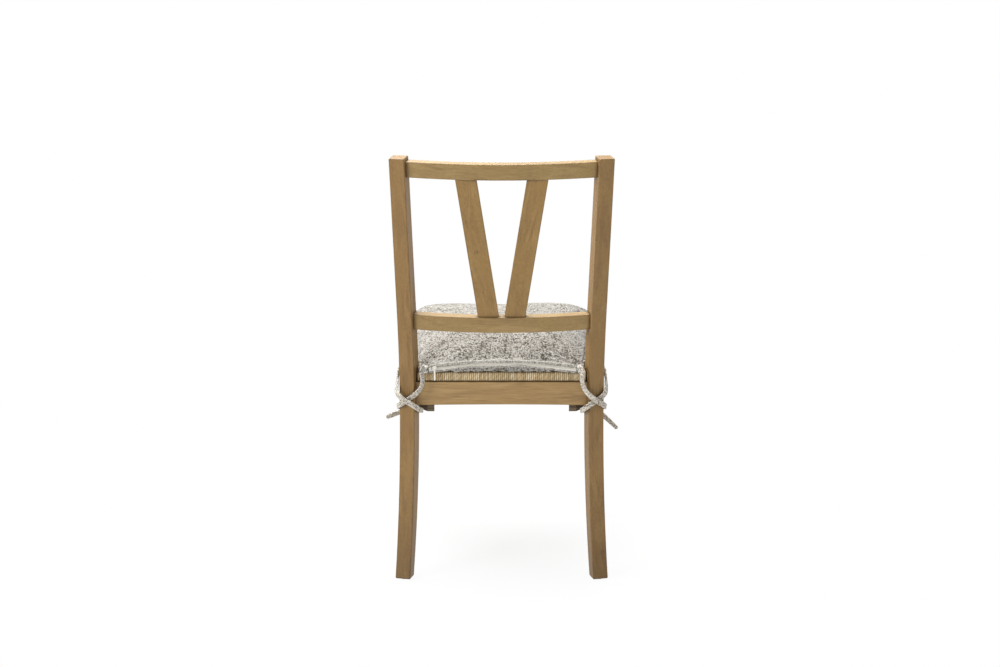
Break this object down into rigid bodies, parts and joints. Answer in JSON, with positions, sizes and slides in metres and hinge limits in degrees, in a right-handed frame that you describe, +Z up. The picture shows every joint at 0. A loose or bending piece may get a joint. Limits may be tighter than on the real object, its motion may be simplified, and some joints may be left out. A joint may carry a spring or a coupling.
{
  "type": "dining chair",
  "caption": "Wooden side chair with a raked, gently curved V-splat back, woven cord slip seat and a loose boxed cushion tied to the back posts, with a working zip.",
  "frame": {"origin": "on the floor, under the middle of the chair's bounding box, with the cushion's ties left out of that box", "axes": "+Z up, the chair faces -Y so that its back is at +Y, +X to the sitter's left"},
  "size_m": [0.4915, 0.5197, 0.8928],
  "materials": {
    "stained_hardwood": "matt lacquer over a warm brown stain, darker glaze in joints and on edges",
    "block_softwood": "raw softwood, stained dark",
    "frame_softwood": "raw",
    "screw_steel": "zinc plated",
    "glide_nylon": "moulded",
    "paper_cord": "twisted paper cord, unvarnished",
    "boucle_cover": "woven boucle, off-white flecked with grey",
    "cushion_filling": "soft foam and fibre",
    "zip_tape": "woven tape",
    "zip_chain": "moulded coil",
    "slider_metal": "off-white enamel",
    "pull_plastic": "moulded",
    "tie_fabric": "folded and stitched strip of the cover's cloth"
  },
  "bodies": {
    "chair": {"block_screws": "screw_steel", "corner_block_front_left": "block_softwood", "corner_block_front_right": "block_softwood", "corner_block_rear_left": "block_softwood", "corner_block_rear_right": "block_softwood", "crest_rail": "stained_hardwood", "cushion_cover": "boucle_cover", "cushion_foam": "cushion_filling", "foot_glides": "glide_nylon", "front_leg_left": "stained_hardwood", "front_leg_right": "stained_hardwood", "front_seat_rail": "stained_hardwood", "knot_left": "tie_fabric", "knot_right": "tie_fabric", "lower_back_rail": "stained_hardwood", "rear_leg_left": "stained_hardwood", "rear_leg_right": "stained_hardwood", "rear_seat_rail": "stained_hardwood", "seat_screws": "screw_steel", "side_seat_rail_left": "stained_hardwood", "side_seat_rail_right": "stained_hardwood", "slip_frame_front": "frame_softwood", "slip_frame_left": "frame_softwood", "slip_frame_rear": "frame_softwood", "slip_frame_right": "frame_softwood", "splat_left": "stained_hardwood", "splat_right": "stained_hardwood", "tie_left_inner": "tie_fabric", "tie_left_outer": "tie_fabric", "tie_right_inner": "tie_fabric", "tie_right_outer": "tie_fabric", "woven_seat": "paper_cord", "zip_chain": "zip_chain", "zip_stops": "zip_chain", "zip_tape_lower": "zip_tape", "zip_tape_upper": "zip_tape"},
    "slider": {"zip_slider": "slider_metal"},
    "pull": {"zip_pull": "pull_plastic"}
  },
  "joints": [
    {"name": "zip_travel", "type": "hinge", "parent": "chair", "child": "slider", "pos_m": [-0.002, 0.18034, -0.6452], "axis": [0, -1, 0], "range_deg": [0, 14.7]},
    {"name": "pull_lift", "type": "hinge", "parent": "slider", "child": "pull", "pos_m": [0.13915, 0.18764, 0.44591], "axis": [0.9917, 0, -0.1283], "range_deg": [0, 120]}
  ]
}
